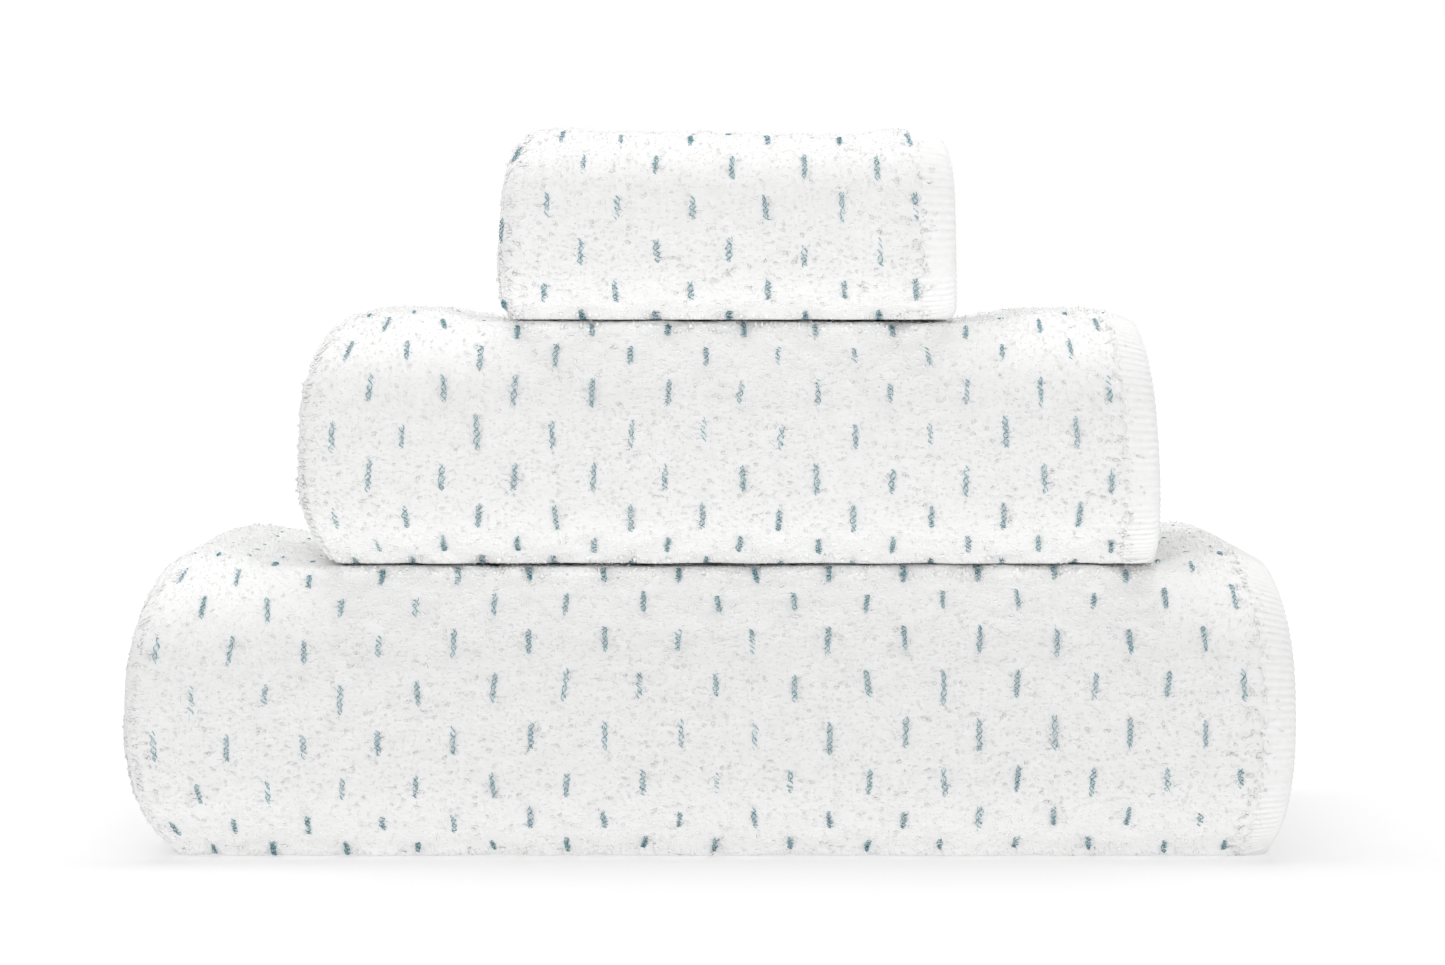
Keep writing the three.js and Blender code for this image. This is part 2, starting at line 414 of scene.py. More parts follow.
    def raised(self, x, side, up):
        """How far the top rises: puffed up where it is free, wavy, and sunk at its corners."""
        puff = self.end_puff * smooth_step(side, self.free_from, self.free_from + 0.2)
        hem_side = (self.right_x - x) * 1.6  # hems are stiffer, so they sink over a shorter reach
        from_corner = np.minimum(x - self.left_x, hem_side)
        drop = self.drop * (1 - smooth_step(from_corner, 0, CORNER_REACH))
        wave = 0.7 * MM * soft_noise(x / (70 * MM), np.full(x.shape, 0.5), self.seed)
        return np.clip(up, 0, 1) ** 2 * (puff + wave - drop)

    def squeezed(self, side, up):
        """1 where a towel is pressed on its neighbour or the table, and 0 where its top is free."""
        covered = 1 - smooth_step(side, self.free_from - 0.06, self.free_from + 0.08)
        above = covered * (ABOVE[self.name] is not None)
        return np.where(up > 0, above, 1.0)

    def filled_out(self, y, z, squeeze):
        """How far the front roll's half circle moves forward to become a superellipse."""
        power = NOSE_POWER + SQUEEZE_POWER * squeeze
        toward = np.maximum(self.near_y + self.height / 2 - y, 0)
        reach = np.maximum(np.hypot(toward, z - self.middle_z), 1e-9)
        turn = np.clip(np.abs(z - self.middle_z) / reach, 0, 1) * (toward > 0) + (toward <= 0)
        full = (1 - turn**power) ** (1 / power) - np.sqrt(1 - turn**2)
        return full * reach

    def shut(self, x, y, up, squeeze):
        """How far the roll's pile moves up or down to close, unevenly, the gap to its neighbour."""
        height = np.clip(np.abs(up), 0, 1)
        ragged = soft_noise(x / (9 * MM), np.full(x.shape, 0.5), self.seed + 5)
        uneven = soft_noise(x / (16 * MM), np.full(x.shape, 0.5), self.seed + 9)
        share = squeeze * smooth_step(height + 0.012 * ragged, 0.925, 0.965)
        share = share * (1 - smooth_step(y, self.near_y + 28 * MM, self.near_y + 40 * MM))
        share = share * (0.9 - 0.25 * np.clip(ragged, 0, 1) - 0.45 * np.clip(uneven, 0, 1))
        return np.sign(up) * share * (1 - height) * self.height / 2

    def find_free_top(self):
        """Where, as a share of the half width, the towel above ends and this one's top is free."""
        above = ABOVE[self.name]
        if above is None:
            return 0.55
        lo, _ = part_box(f"{above}_terry_cloth")
        return abs(lo.x - self.middle_x) / ((self.right_x - self.left_x) / 2)


# ---------------------------------------------------------------- the pattern and the pile's height

def droop(towel, a):
    """How far the pattern's rows are shifted: they hang a little lower towards the creased side."""
    return -towel.droop * smooth_step(a, towel.to_crease * 0.55, towel.to_crease * 0.95)


def dash_place(towel, row, column):
    """Where one blue float lies: across the cloth, and along its face from the front's middle."""
    number = row * 1000 + column
    a = towel.right_x - towel.first_column + (row % 2) * DASH_PITCH / 2 + column * DASH_PITCH
    distance = towel.first_row + row * towel.row + droop(towel, a)
    a_shift = 0.7 * MM * (2 * hashed(number, 3, towel.seed) - 1)
    d_shift = 1.0 * MM * (2 * hashed(number, 5, towel.seed) - 1)
    return a + a_shift, distance + d_shift


def nearest_dash(towel, a, distance):
    """The offsets across and along the cloth from each point to its nearest float."""
    first_row = np.round((distance - towel.first_row - droop(towel, a)) / towel.row).astype(np.int64)
    best_a, best_d = np.full(a.shape, 1.0), np.full(a.shape, 1.0)
    for row in (first_row - 1, first_row, first_row + 1):
        phase = towel.right_x - towel.first_column + (row % 2) * DASH_PITCH / 2
        column = np.round((a - phase) / DASH_PITCH).astype(np.int64)
        at_a, at_d = dash_place(towel, row, column)
        clear = towel.hem_width + DASH_MARGIN
        on_cloth = (at_a > clear) & (at_a < towel.across_size - clear)
        da, dd = a - at_a, distance - at_d
        closer = on_cloth & (da**2 + dd**2 < best_a**2 + best_d**2)
        best_a, best_d = np.where(closer, da, best_a), np.where(closer, dd, best_d)
    return best_a, best_d


def pile_height(towel, a, s, distance):
    """Height of the pile's heads over the cloth's nominal face, with the floats' recesses."""
    seed = towel.seed
    da, dd = nearest_dash(towel, a, distance)
    reach = np.hypot(da, dd)
    along = 1 - smooth_step(np.abs(dd), DASH_LENGTH * 0.42, DASH_LENGTH * 0.62)
    groove = np.exp(-((da / (1.5 * MM)) ** 2)) * along
    dimple = np.exp(-((da / (5.5 * MM)) ** 2) - (dd / (7 * MM)) ** 2)
    bend = 3 * soft_noise(da / (3 * MM), dd / (3 * MM), seed + 1)
    pucker = np.sin(np.arctan2(dd, da) * 9 + bend)
    pucker = pucker * np.exp(-((reach / (6 * MM)) ** 2)) * smooth_step(reach, 1 * MM, 3 * MM)
    swell = soft_noise(a / (34 * MM), distance / (26 * MM), seed + 2)
    clump = soft_noise(a / (6 * MM), distance / (4.5 * MM), seed + 4)
    streak = soft_noise(a / (3.6 * MM), distance / (1.5 * MM), seed + 5)
    tuft = tuft_noise(a / (2.3 * MM), distance / (1.9 * MM), seed + 6)
    rough = -0.4 + 0.35 * swell + 0.3 * clump + 0.15 * streak + 0.3 * tuft
    ribbed = rib(s) * (1 - smooth_step(a, towel.hem_width - 2 * MM, towel.hem_width + RIB_FADE))
    return (rough + 0.45 * ribbed - 0.5 * groove - 0.4 * dimple + 0.15 * pucker) * MM


def painted_light_share(towel, points):
    """How close points are to the towel's top or bottom, from 0 to 1: how much painted light pales the
    pile and hems there.
    """
    up = np.abs(points[:, 2] - towel.middle_z) / (towel.height / 2)
    return smooth_step(up, 0.35, 0.95)


def seen(towel, a, s):
    """Whether a place on the cloth's pile shows in the folded towel."""
    in_crease = (a > towel.to_crease - CREASE_MARGIN)
    in_crease &= (a < towel.to_crease + towel.crease_arc + CREASE_MARGIN)
    wrap = (s > towel.wrap_start) & (s < towel.wrap_end)
    shown = in_crease | (wrap & (a < towel.to_crease))
    if towel.inner_fold is not None:
        start, end = towel.leg_start[towel.inner_fold], towel.leg_end[towel.inner_fold]
        shown |= (a > towel.to_crease) & (s > start - 12 * MM) & (s < end + 12 * MM)
    return shown


# ---------------------------------------------------------------- meshes

def signed_volume(points, blocks):
    """A closed mesh's volume, below 0 where its faces point in."""
    total = 0.0
    for block in blocks:
        apex = points[block[:, 0]]
        for k in range(1, block.shape[1] - 1):
            cross = np.cross(points[block[:, k]], points[block[:, k + 1]])
            total += np.einsum("ij,ij->", apex, cross)
    return total / 6


def make_object(name, points, blocks, material, layers=None):
    """A mesh object from its points and from arrays of faces, one array for each number of sides."""
    if signed_volume(points, blocks) < 0:
        blocks = [block[:, ::-1] for block in blocks]
    data = bpy.data.meshes.new(name)
    sides = np.concatenate([np.full(len(block), block.shape[1]) for block in blocks])
    corners = np.concatenate([block.ravel() for block in blocks])
    data.vertices.add(len(points))
    data.vertices.foreach_set("co", points.astype(np.float32).ravel())
    data.loops.add(len(corners))
    data.loops.foreach_set("vertex_index", corners.astype(np.int32))
    data.polygons.add(len(sides))
    data.polygons.foreach_set("loop_start", (np.cumsum(sides) - sides).astype(np.int32))
    data.polygons.foreach_set("use_smooth", np.full(len(sides), True))
    data.update(calc_edges=True)
    return finish_object(data, material, layers)


def finish_object(data, material, layers=None):
    """Puts the mesh in the scene. layers are the values at its points that its material reads."""
    for name, values in (layers or {}).items():
        layer = data.attributes.new(name, "FLOAT", "POINT")
        layer.data.foreach_set("value", values.astype(np.float32))
    data.materials.append(material)
    made = bpy.data.objects.new(data.name, data)
    bpy.context.scene.collection.objects.link(made)
    return made


def tube_faces(count, rings, sides):
    """The quads and the two sets of end caps of equal tubes, ring after ring, tube after tube."""
    tube = np.arange(count)[:, None, None] * rings * sides
    ring = np.arange(rings - 1)[None, :, None] * sides
    k = np.arange(sides)[None, None, :]
    here, beside = tube + ring + k, tube + ring + (k + 1) % sides
    quads = np.stack([here, beside, beside + sides, here + sides], axis=-1).reshape(-1, 4)
    first = tube[:, 0] + k[0]
    return [quads, first[:, ::-1], first + (rings - 1) * sides]


def laid_tubes(towel, a, s, path, radius, sides):
    """Tubes laid on the cloth's face at (a, s). path holds each ring's offset from there: across the
    cloth, along its face, and over it."""
    count, rings, _ = path.shape
    chord = path[:, -1] - path[:, 0]
    side = np.stack([chord[:, 1], -chord[:, 0], chord[:, 0] * 0], axis=1)[:, None, :]
    tangent = np.gradient(path, axis=1)
    tangent /= np.linalg.norm(tangent, axis=2, keepdims=True)
    side = side - tangent * (side * tangent).sum(axis=2, keepdims=True)
    side /= np.linalg.norm(side, axis=2, keepdims=True)
    out = np.cross(tangent, side)
    turn = (2 * math.pi * np.arange(sides) / sides)[None, None, :, None]
    ring = side[:, :, None] * np.cos(turn) + out[:, :, None] * np.sin(turn)
    offsets = (path[:, :, None] + radius[:, :, None, None] * ring).reshape(count, rings * sides, 3)
    return lay(towel, a, s, offsets)


def lay(towel, a, s, at):
    """Folds points that are given as offsets from places (a, s) on the cloth's face."""
    _, m = towel.offset(a, np.full(len(a), towel.layer / 2))
    stretch = np.maximum(1 - towel.leg_bend[towel.leg(s)] * m, 0.15)
    flat_a = a[:, None] + at[..., 0]
    flat_s = s[:, None] + at[..., 1] / stretch[:, None]
    flat_n = towel.layer / 2 + at[..., 2]
    return towel.fold(flat_a.ravel(), flat_s.ravel(), flat_n.ravel())


# ---------------------------------------------------------------- the cloth

def steps_between(low, high, longest):
    """Values from low to high, both included, no more than longest apart."""
    return np.linspace(low, high, max(2, math.ceil((high - low) / longest - 1e-6) + 1))


def flat_grid(towel):
    """Lines across and along the flat cloth, close together where it is folded."""
    margin = towel.hem_width - HEM_OVERLAP
    crease_in = towel.to_crease - CREASE_MARGIN
    crease_out = towel.to_crease + towel.crease_arc + CREASE_MARGIN
    far = towel.across_size - margin
    across = [
        steps_between(margin, crease_in, COARSE_CELL),
        steps_between(crease_in, crease_out, CREASE_CELL),
        steps_between(crease_out, far, COARSE_CELL),
    ]
    along = []
    for begin, end, bend in zip(towel.leg_start, towel.leg_end, towel.leg_bend):
        begin, end = max(begin, margin), min(end, towel.length - margin)
        along.append(steps_between(begin, end, COARSE_CELL if bend == 0 else BEND_CELL))
    return np.unique(np.concatenate(across)), np.unique(np.concatenate(along))


def flat_cloth(towel):
    """The cloth as a closed flat mesh in (a, s, n), before its pile is raised."""
    across, along = flat_grid(towel)
    a, s = (values.ravel() for values in np.meshgrid(across, along, indexing="ij"))
    half = towel.layer / 2
    points = np.concatenate([np.stack([a, s, a * 0 + half], 1), np.stack([a, s, a * 0 - half], 1)])
    row = len(along)
    i, j = np.meshgrid(np.arange(len(across) - 1), np.arange(row - 1), indexing="ij")
    corner = (i * row + j).ravel()
    upper = np.stack([corner, corner + row, corner + row + 1, corner + 1], 1)
    lower = upper[:, ::-1] + a.size
    left, right = np.arange(row - 1), np.arange(row - 1) + (len(across) - 1) * row
    near, far = np.arange(len(across) - 1) * row, np.arange(len(across) - 1) * row + row - 1
    walls = [wall_faces(left + 1, left, a.size), wall_faces(right, right + 1, a.size)]
    walls += [wall_faces(near, near + row, a.size), wall_faces(far + row, far, a.size)]
    return points, np.concatenate([upper, lower, *walls])


def wall_faces(begin, end, drop):
    """Quads that join edges of the upper face, from begin to end, to the same ones drop below."""
    return np.stack([end, begin, begin + drop, end + drop], 1)


def refine(towel, data):
    """Divides a flat cloth's mesh until it is fine enough wherever its pile is seen."""
    cloth = bmesh.new()
    cloth.from_mesh(data)
    for _ in range(REFINE_ROUNDS):
        edges = set()
        centres = np.array([face.calc_center_median() for face in cloth.faces])
        shown = seen(towel, centres[:, 0], centres[:, 1]) & (centres[:, 2] > 0)
        fine = centres[:, 0] < towel.to_crease - CREASE_MARGIN
        limit = 1.25 * np.where(fine, FINE_CELL, SIDE_CELL)
        for face, is_shown, longest in zip(cloth.faces, shown, limit):
            if is_shown:
                edges.update(edge for edge in face.edges if edge.calc_length() > longest)
        if not edges:
            break
        bmesh.ops.subdivide_edges(cloth, edges=list(edges), cuts=1, use_grid_fill=True)
    cloth.to_mesh(data)
    cloth.free()


def make_cloth(towel, material):
    """A towel's cloth: a flat closed mesh, refined, raised into pile on its outer face and folded."""
    points, faces = flat_cloth(towel)
    data = bpy.data.meshes.new(f"{towel.name}_cloth")
    data.from_pydata(points.tolist(), [], faces.tolist())
    refine(towel, data)
    flat = np.empty(len(data.vertices) * 3, np.float32)
    data.vertices.foreach_get("co", flat)
    a, s, n = flat.reshape(-1, 3).astype(float).T
    height = pile_height(towel, a, s, towel.surface(a, s))
    from_edge = np.minimum(np.minimum(a, towel.across_size - a), np.minimum(s, towel.length - s))
    tuck = TUCK * (1 - smooth_step(from_edge - towel.hem_width, -HEM_OVERLAP, TUCK))
    inner_face = -towel.layer / 2 + 0.1 * MM
    face_n = np.where(n > 0, towel.layer / 2 + height - tuck, inner_face)
    folded = towel.fold(a, s, face_n)
    data.vertices.foreach_set("co", folded.astype(np.float32).ravel())
    data.polygons.foreach_set("use_smooth", np.full(len(data.polygons), True))
    data.flip_normals()  # because folding mirrors the flat cloth
    data.update()
    # pile heights for the material's painted shade, and the share of painted light that pales the
    # towel's top and bottom
    return finish_object(data, material, {"pile": height / MM, "painted_light_share": painted_light_share(towel, folded)})


# ---------------------------------------------------------------- tufts of pile and blue floats

def spread(towel, random):
    """Places for tufts on the cloth's visible pile, evenly spaced on its face, as (a, s)."""
    table = np.linspace(0, towel.length, 6000)
    turned = towel.turned(table)
    spread_a, spread_s = [], []
    for a in np.arange(3 * MM, towel.across_size - towel.hem_width, TUFT_SPACING):
        _, m = towel.offset(np.array([a]), towel.layer / 2)
        face = table - m * turned
        rows = np.arange(face[0], face[-1], TUFT_SPACING)
        rows = rows + random.uniform(-0.5, 0.5, rows.shape) * TUFT_SPACING
        s = np.interp(rows, face, table)
        column = a + random.uniform(-0.5, 0.5, rows.shape) * TUFT_SPACING
        shown = seen(towel, column, s)
        spread_a.append(column[shown])
        spread_s.append(s[shown])
    a, s = np.concatenate(spread_a), np.concatenate(spread_s)
    keep = (s > towel.hem_width + 1 * MM) & (s < towel.length - towel.hem_width - 1 * MM)
    share = smooth_step(a, 3 * MM, towel.hem_width + 3 * MM)
    share = np.where(plainly_seen(towel, a, s), share, share * HIDDEN_SHARE)
    keep &= random.uniform(0, 1, a.shape) < share
    return a[keep], s[keep]


def plainly_seen(towel, a, s):
    """Whether a place is on the front roll or on the part of the top that no towel covers."""
    on_front = (s > towel.wrap_start) & (s < towel.leg_end[1] + 12 * MM)
    on_top = (s > towel.leg_start[2]) & (s < towel.leg_end[2])
    x, _ = towel.offset(a, np.full(a.shape, towel.layer / 2))
    free_x = (towel.free_from - 0.05) * (towel.right_x - towel.left_x) / 2
    free = (np.abs(x - towel.middle_x) > free_x) | (ABOVE[towel.name] is None)
    return (a < towel.to_crease + CREASE_MARGIN) & (on_front | (on_top & free))


def tuft_offsets(random, base):
    """Each tuft's points as offsets across the cloth, along it and over it. A tuft is the top of one
    loop of yarn, a bent bead with both ends in the cloth, and base is the pile's height under it."""
    count = len(base)
    heading = random.normal(0, 0.8, count)
    half_length = random.uniform(0.8, 1.4, count) * MM
    half_width = random.uniform(0.4, 0.7, count) * MM
    tall = random.uniform(0.12, 0.5, count) * MM
    tall = tall + np.where(random.uniform(0, 1, count) > 0.93, 0.5 * MM, 0)  # some stand out
    lean_a, lean_s = random.normal(0, 0.25, (2, count)) * MM
    along = np.stack([np.cos(heading), np.sin(heading)])
    across = np.stack([-along[1], along[0]])
    sunk = base - 0.35 * MM
    tips = [
        np.stack([end * half_length * along[0], end * half_length * along[1], sunk], axis=1)
        for end in (-1, 1)
    ]
    section = [
        np.stack([
            lean_a + half_width * math.cos(angle) * across[0],
            lean_s + half_width * math.cos(angle) * across[1],
            base + tall + half_width * (math.sin(angle) - 1),
        ], axis=1)
        for angle in TUFT_SECTION
    ]
    return np.stack([tips[0], *section, tips[1]], axis=1)


def make_pile(towel, material):
    """The pile's tufts, in as many pieces as their number needs."""
    random = np.random.default_rng(towel.seed + 100)
    a, s = spread(towel, random)
    distance = towel.surface(a, s)
    da, dd = nearest_dash(towel, a, distance)
    clear = (np.abs(da) > 1.2 * MM) | (np.abs(dd) > DASH_LENGTH * 0.5)
    a, s, distance = a[clear], s[clear], distance[clear]
    on_ribs = hem_top(towel, a) - towel.layer / 2 + 0.35 * MM * rib(s)
    base = np.where(a < towel.hem_width, on_ribs, pile_height(towel, a, s, distance))
    offsets = tuft_offsets(random, base)
    # each tuft's pile height, which the material turns into painted shade, lowered by a random amount
    # so that some tufts are darker in tone
    tone = base - np.abs(random.normal(0, 0.25 * MM, len(a)))
    pieces = []
    for part, start in enumerate(range(0, len(a), TUFTS_PER_PIECE)):
        these = slice(start, start + TUFTS_PER_PIECE)
        points = lay(towel, a[these], s[these], offsets[these])
        first = TUFT_POINTS * np.arange(len(a[these]))[:, None, None]
        faces = (first + TUFT_FACES).reshape(-1, 3)
        name = f"{towel.name}_pile_{part + 1}"
        layers = {"pile": np.repeat(tone[these], TUFT_POINTS) / MM, "painted_light_share": painted_light_share(towel, points)}
        pieces.append(make_object(name, points, [faces], material, layers))
    return pieces


def dash_places(towel):
    """Where the blue floats that show lie on the cloth, as (a, s)."""
    rows = math.ceil(1.2 * towel.length / towel.row)
    columns = math.ceil(1.2 * towel.across_size / DASH_PITCH)
    row, column = np.meshgrid(np.arange(-rows, rows), np.arange(-columns, columns), indexing="ij")
    a, distance = dash_place(towel, row.ravel(), column.ravel())
    clear = towel.hem_width + DASH_MARGIN
    on_cloth = (a > clear) & (a < towel.across_size - clear)
    a, distance = a[on_cloth], distance[on_cloth]
    s = towel.from_surface(a, distance)
    inside = (s > clear) & (s < towel.length - clear) & seen(towel, a, s)
    return a[inside], s[inside]


def make_dashes(towel, material):
    """The blue floats: three plies of yarn that wind round each other in a recess of the pile."""
    a, s = dash_places(towel)
    count = len(a)
    random = np.random.default_rng(towel.seed)
    rings, sides = 19, 3
    t = np.linspace(0, 1, rings)[None, :]
    end = np.abs(2 * t - 1)
    length = DASH_LENGTH * random.uniform(0.8, 1.15, (count, 1))
    lean = random.normal(0, 0.3 * MM, (count, 1))
    turns = random.uniform(2.0, 3.6, (count, 1))
    phase = random.uniform(0, 2 * math.pi, (count, 1))
    item = np.arange(count)[:, None] * 9.0  # far enough apart for noise of its own
    points = []
    for ply, (winding, thick) in enumerate([(1.0, 0.14 * MM), (1.0, 0.14 * MM), (2.7, 0.10 * MM)]):
        seed = towel.seed + 50 + ply
        wander = soft_noise(item + t * 7, item * 0 + 0.5, seed)
        swing = 0.78 * MM * (1 + 0.4 * soft_noise(item + t * 5, item * 0 + 2.5, seed))
        twist = 2 * math.pi * (turns * winding) * t + phase + ply * math.pi + 0.8 * wander
        path = np.stack([
            swing * np.sin(twist) * (1 - 0.5 * end**4) + lean * (2 * t - 1) + 0.25 * MM * wander,
            (t - 0.5) * length,
            -0.55 * MM + 0.3 * MM * np.cos(twist) + 0.15 * MM * wander - 1.2 * MM * end**5,
        ], axis=-1)
        radius = thick * (1 - 0.5 * end**6) * (1 + 0.25 * wander)
        points.append(laid_tubes(towel, a, s, path, radius, sides))
    faces = tube_faces(3 * count, rings, sides)
    return make_object(f"{towel.name}_dashes", np.concatenate(points), faces, material)


# ---------------------------------------------------------------- hems and stitches

def rib(distance):
    """The hem's ribs, from -1 between them to 1 on top."""
    return np.cos(2 * math.pi * distance / RIB_PITCH)


def hem_top(towel, inset):
    """Height of a hem's outer face over the cloth's middle, at a distance in from its edge."""
    full = 2.2 * MM + (towel.layer / 2 - 2.5 * MM) * inset / towel.hem_width
    return full * (1 - 0.85 * np.exp(-inset / (0.9 * MM)))


def hem_ring(towel, ribbed):
    """A hem's section, from its edge over the top and back below, for each rib height in ribbed. Its
    last two points lie under the cloth."""
    inset = np.array([0, 0.4, 1.2, 2.6, 4.6, 7.0, 9.4, 11.2, 12.8]) * MM
    rib_size = np.array([0.6, 1, 1, 1, 1, 0.9, 0.8, 0.5, 0.0]) * 0.5 * MM
    wave = ribbed[:, None]
    top = hem_top(towel, inset) + rib_size * wave - 0.7 * MM * (inset > towel.hem_width)
    below = -1.5 * MM * (1 - 0.9 * np.exp(-inset / (0.7 * MM))) + 0 * wave
    edge = inset - 0.25 * MM * wave * np.exp(-inset / (0.8 * MM))
    section_inset = np.concatenate([edge, edge[:, ::-1]], axis=1)
    section_n = np.concatenate([top, below[:, ::-1]], axis=1)
    return section_inset, section_n


def hem_stations(towel):
    """Distances along a side hem: four to a rib where it shows and two elsewhere."""
    step = RIB_PITCH / 4
    index = np.arange(math.floor(towel.length / step) + 1)
    s = index * step
    shown = (s > towel.wrap_start) & (s < towel.wrap_end)
    return s[shown | (index % 2 == 0)]


def make_side_hem(towel, place, material):
    """The hem along one long edge, with flatter ribs towards the middle of the towel's height."""
    s = hem_stations(towel)
    _, z, _, _ = towel.on_line(s)
    up = np.abs(z - towel.middle_z) / (towel.height / 2)
    inset, n = hem_ring(towel, rib(s) * (0.45 + 0.55 * smooth_step(up, 0.2, 0.8)))
    sides = inset.shape[1]
    a = inset if place == "outer" else towel.across_size - inset
    points = towel.fold(a.ravel(), np.repeat(s, sides), n.ravel())
    layers = {"painted_light_share": painted_light_share(towel, points)}
    name = f"{towel.name}_hem_side_{place}"
    return make_object(name, points, tube_faces(1, len(s), sides), material, layers)


def make_end_hem(towel, place, material):
    """The hem across one short end, between the two side hems."""
    margin = towel.hem_width + TOUCH_GAP
    a = np.arange(margin, towel.across_size - margin, RIB_PITCH / 2)
    inset, n = hem_ring(towel, rib(a))
    sides = inset.shape[1]
    s = inset if place == "outer" else towel.length - inset
    points = towel.fold(np.repeat(a, sides), s.ravel(), n.ravel())
    layers = {"painted_light_share": painted_light_share(towel, points)}
    name = f"{towel.name}_hem_end_{place}"
    return make_object(name, points, tube_faces(1, len(a), sides), material, layers)


def make_stitches(towel, name, a, s, along, material):
    """A row of stitches: short rounded beads of thread on a hem. along is their direction."""
    count = len(a)
    t = np.linspace(-1, 1, 3)[None, :] * np.ones((count, 1))
    run = t * STITCH_LENGTH / 2
    lift = hem_top(towel, STITCH_INSET) - towel.layer / 2 + 0.1 * MM - 0.3 * MM * t**2
    path = np.stack([run * along[0], run * along[1], lift], axis=-1)
    radius = 0.28 * MM * np.sqrt(1.05 - t**2)
    points = laid_tubes(towel, a, s, path, radius, 4)
    return make_object(f"{towel.name}_stitch_{name}", points, tube_faces(count, 3, 4), material)


def make_all_stitches(towel, material):
    """The rows of stitches of a towel's four hems, by edge and place."""
    side_s = np.arange(STITCH_PITCH, towel.length - STITCH_PITCH, STITCH_PITCH)
    margin = towel.hem_width + STITCH_PITCH
    end_a = np.arange(margin, towel.across_size - margin, STITCH_PITCH)
    side = {"outer": STITCH_INSET, "inner": towel.across_size - STITCH_INSET}
    end = {"outer": STITCH_INSET, "inner": towel.length - STITCH_INSET}
    made = {}
    for place in PLACES:
        at_side, at_end = side_s * 0 + side[place], end_a * 0 + end[place]
        name = f"side_{place}"
        made[name] = make_stitches(towel, name, at_side, side_s, (0, 1), material)
        name = f"end_{place}"
        made[name] = make_stitches(towel, name, end_a, at_end, (1, 0), material)
    return made


# ---------------------------------------------------------------- materials

class Material:
    """A Principled material, and short calls that add nodes to it."""

    def __init__(self, name, roughness, sheen):
        self.made = bpy.data.materials.new(name)
        self.made.use_nodes = True
        self.tree = self.made.node_tree
        self.shader = self.tree.nodes["Principled BSDF"]
        self.shader.inputs["Roughness"].default_value = roughness
        self.shader.inputs["Specular IOR Level"].default_value = 0.15
        self.shader.inputs["Sheen Weight"].default_value = sheen
        self.shader.inputs["Sheen Roughness"].default_value = 0.6
        self.place = self.tree.nodes.new("ShaderNodeTexCoord").outputs["Object"]

    def noise(self, scale, detail=2.0, stretch=(1, 1, 1)):
        """Noise in the object's space, with scale bumps to a metre."""
        mapping = self.tree.nodes.new("ShaderNodeMapping")
        mapping.inputs["Scale"].default_value = stretch
        self.tree.links.new(self.place, mapping.inputs["Vector"])
        node = self.tree.nodes.new("ShaderNodeTexNoise")
        node.inputs["Scale"].default_value = scale
        node.inputs["Detail"].default_value = detail
        self.tree.links.new(mapping.outputs["Vector"], node.inputs["Vector"])
        return node.outputs["Fac"]

    def ranged(self, value, low, high):
        """A value that runs from 0 at low to 1 at high."""
        node = self.tree.nodes.new("ShaderNodeMapRange")
        node.inputs["From Min"].default_value = low
        node.inputs["From Max"].default_value = high
        self.tree.links.new(value, node.inputs["Value"])
        return node.outputs["Result"]

    def attribute(self, name):
        """The values that finish_object stored at the mesh's points."""
        node = self.tree.nodes.new("ShaderNodeAttribute")
        node.attribute_name = name
        return node.outputs["Fac"]

    def mixed(self, factor, first, second):
        """A colour between two, each of which is a constant or another node's output."""
        node = self.tree.nodes.new("ShaderNodeMix")
        node.data_type = "RGBA"
        self.tree.links.new(factor, node.inputs[0])
        for socket, value in ((node.inputs[6], first), (node.inputs[7], second)):
            if isinstance(value, tuple):
                socket.default_value = (*value, 1)
            else:
                self.tree.links.new(value, socket)
        return node.outputs[2]

    def bump(self, height, distance, strength=1.0, under=None):
        """A bumped normal, on top of the bump in under if there is one."""
        node = self.tree.nodes.new("ShaderNodeBump")
        node.inputs["Strength"].default_value = strength
        node.inputs["Distance"].default_value = distance
        self.tree.links.new(height, node.inputs["Height"])
        if under is not None:
            self.tree.links.new(under, node.inputs["Normal"])
        return node.outputs["Normal"]

    def finished(self, colour, normal):
        """Links the last nodes to the shader, and gives the material."""
        self.tree.links.new(colour, self.shader.inputs["Base Color"])
        self.tree.links.new(normal, self.shader.inputs["Normal"])
        return self.made


def terry_material():
    """White cotton pile: uneven in tone, with painted shade that makes it warmer and darker where it
    lies low between its loops and round the floats, and painted light that makes it paler at a
    towel's top and bottom."""
    terry = Material("terry_cotton", roughness=1.0, sheen=0.25)
    tone = terry.ranged(terry.noise(260, 3), 0.3, 0.7)
    white = terry.mixed(tone, *PILE_WHITES)
    # painted shade: the lower the pile, the more its white turns to the darker recess colour
    recess_shade = terry.ranged(terry.attribute("pile"), -0.9, -2.2)
    # painted light: paler towards the towel's top and bottom
    white = terry.mixed(terry.ranged(terry.attribute("painted_light_share"), 0, 1), white, PAINTED_LIGHT_WHITE)
    colour = terry.mixed(recess_shade, white, PAINTED_RECESS_SHADE)
    coarse = terry.bump(terry.noise(1100, 3, (0.45, 1, 1)), 0.35 * MM, 0.8)
    fine = terry.bump(terry.noise(3200, 2, (0.3, 1, 1)), 0.15 * MM, 1.0, under=coarse)
    return terry.finished(colour, fine)


def hem_material():
    """Close ribbed cotton, turned over and sewn down."""
    hem = Material("hem_cotton", roughness=1.0, sheen=0.25)
    tone = hem.ranged(hem.noise(500, 3), 0.3, 0.7)
    white = hem.mixed(tone, *HEM_WHITES)
    # painted light: paler towards the towel's top and bottom
    colour = hem.mixed(hem.ranged(hem.attribute("painted_light_share"), 0, 1), white, PAINTED_LIGHT_WHITE)
    return hem.finished(colour, hem.bump(hem.noise(1800, 3), 0.2 * MM, 0.8))


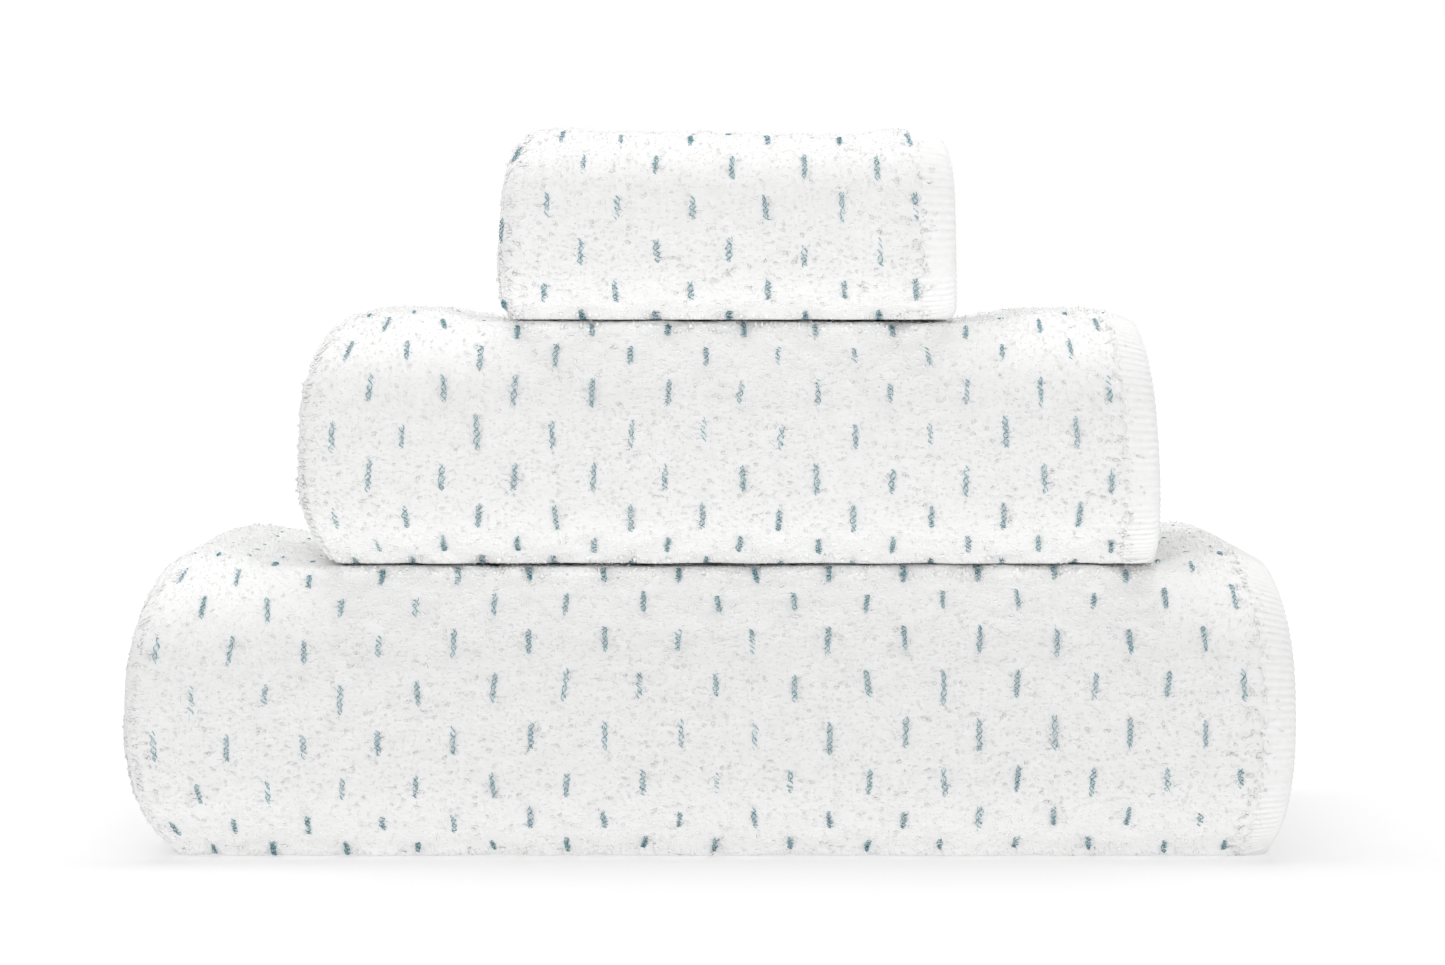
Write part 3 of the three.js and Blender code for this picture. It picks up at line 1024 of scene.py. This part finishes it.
def thread_material():
    """White sewing thread with a slight gloss and a fine twist."""
    thread = Material("sewing_thread", roughness=0.6, sheen=0.1)
    tone = thread.ranged(thread.noise(1500, 2), 0.3, 0.7)
    colour = thread.mixed(tone, *THREAD_WHITES)
    return thread.finished(colour, thread.bump(thread.noise(4000, 2), 0.1 * MM, 0.8))


def dash_material():
    """Dusty blue yarn with pale flecks."""
    dash = Material("blue_yarn", roughness=0.9, sheen=0.1)
    tone = dash.ranged(dash.noise(700, 3), 0.35, 0.65)
    blue = dash.mixed(tone, *YARN_BLUES)
    fleck = dash.ranged(dash.noise(1500, 2), 0.53, 0.62)
    colour = dash.mixed(fleck, blue, YARN_FLECK)
    return dash.finished(colour, dash.bump(dash.noise(3500, 2), 0.15 * MM, 0.8))


# ---------------------------------------------------------------- the stack

def dress_towel(name, materials):
    """Builds one towel's pieces, hides the imported solids that they stand in for, and attaches them
    to the towel's body.
    """
    towel = Towel(name)
    body = f"{name}_towel"
    cloth = make_cloth(towel, materials["terry_white"])
    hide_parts(f"{name}_terry_cloth")
    pieces = {"terry_white": make_pile(towel, materials["terry_white"]), "hem_tape": []}
    pieces["dash_blue"] = [make_dashes(towel, materials["dash_blue"])]
    for place in PLACES:
        side_hem = make_side_hem(towel, place, materials["hem_tape"])
        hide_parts(f"{name}_side_hem_{place}")
        end_hem = make_end_hem(towel, place, materials["hem_tape"])
        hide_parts(f"{name}_end_hem_{place}")
        pieces["hem_tape"] += [side_hem, end_hem]
    stitches = make_all_stitches(towel, materials["sewing_thread"])
    for edge, row in stitches.items():
        side, place = edge.split("_")
        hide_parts(f"{name}_{side}_thread_{place}")
    pieces["sewing_thread"] = list(stitches.values())
    for slot, members in pieces.items():
        for piece in members:
            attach(piece, body)
    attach(cloth, body)
    return cloth


def main():
    make_camera()
    floor = make_floor()
    make_light()
    materials = {
        "terry_white": terry_material(),
        "hem_tape": hem_material(),
        "sewing_thread": thread_material(),
        "dash_blue": dash_material(),
    }
    below = floor.name
    for name in TOWELS:
        below = dress_towel(name, materials).name


main()
